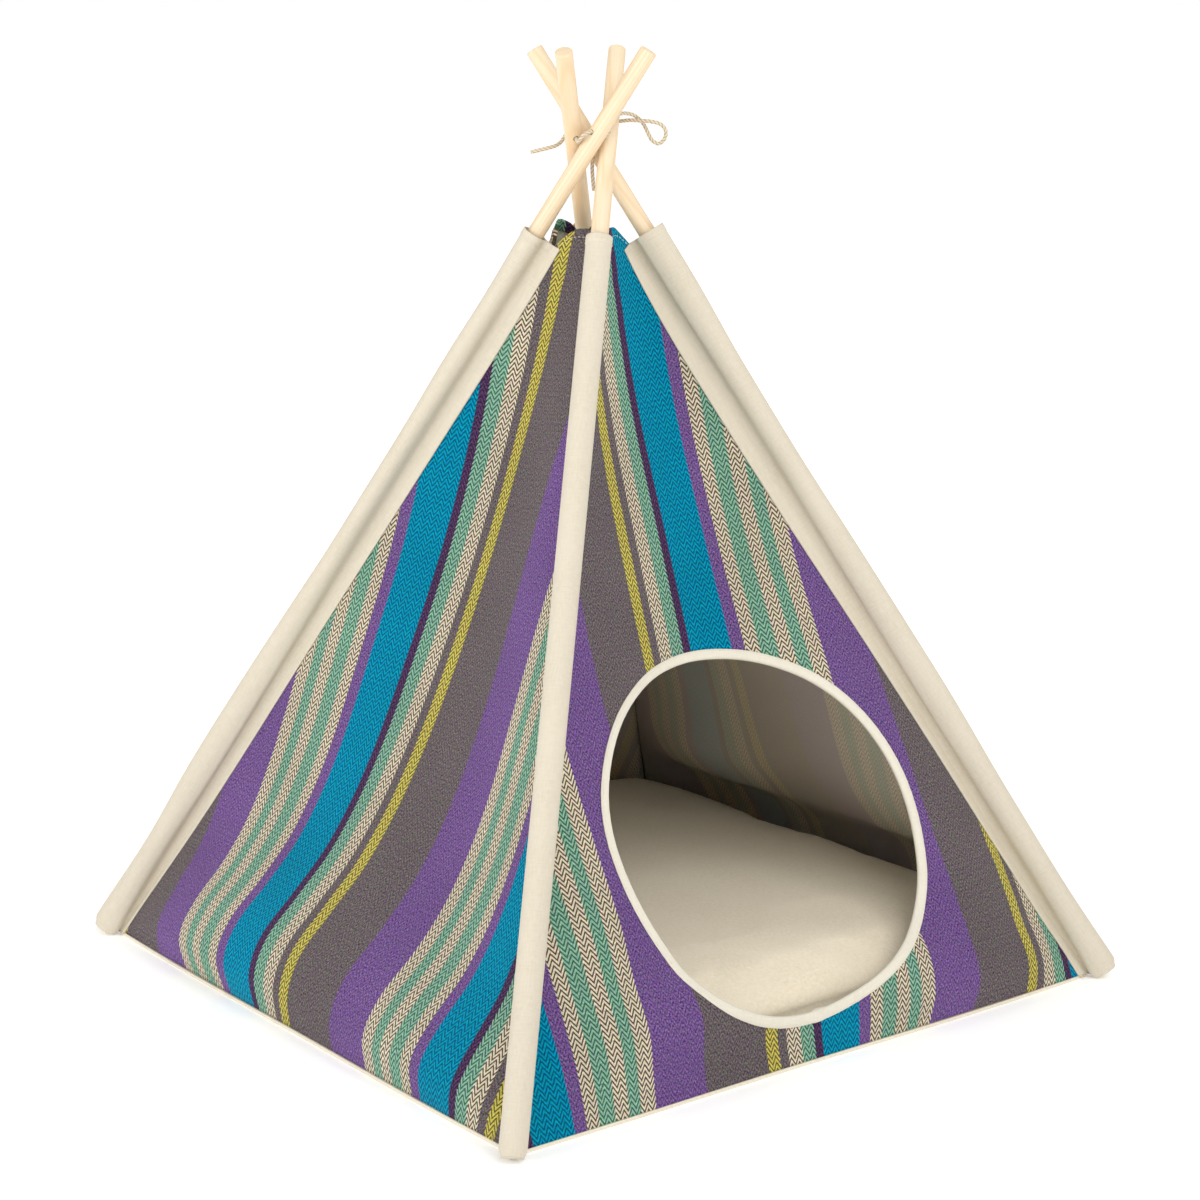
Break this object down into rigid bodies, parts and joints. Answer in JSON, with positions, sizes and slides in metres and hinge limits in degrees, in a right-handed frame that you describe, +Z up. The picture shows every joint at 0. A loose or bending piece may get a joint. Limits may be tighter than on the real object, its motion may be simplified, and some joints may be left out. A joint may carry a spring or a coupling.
{
  "type": "cat tent with pole frame",
  "caption": "Four-sided striped cloth pet tent on crossed wooden poles, with a round bound doorway and a cushion inside.",
  "frame": {"origin": "on the ground under the middle of the tent", "axes": "+Z up, the doorway looks along -Y, +X to the right as one faces the doorway"},
  "size_m": [0.5274, 0.5274, 0.644],
  "materials": {
    "striped_cloth": "herringbone woven stripes in charcoal, purple, teal, green, beige and yellow",
    "canvas": "plain cream cotton canvas",
    "cushion_canvas": "soft brushed cream canvas",
    "wood": "sanded pale softwood dowel",
    "cord": "twisted natural cotton cord"
  },
  "bodies": {
    "root": {"panel_door": "striped_cloth", "panel_left": "striped_cloth", "panel_right": "striped_cloth", "panel_back": "striped_cloth", "door_binding": "canvas", "sleeve_front": "canvas", "sleeve_left": "canvas", "sleeve_right": "canvas", "sleeve_back": "canvas", "floor_cloth": "canvas", "cushion": "cushion_canvas", "pole_front": "wood", "pole_left": "wood", "pole_right": "wood", "pole_back": "wood", "tie_cord": "cord"}
  },
  "joints": []
}
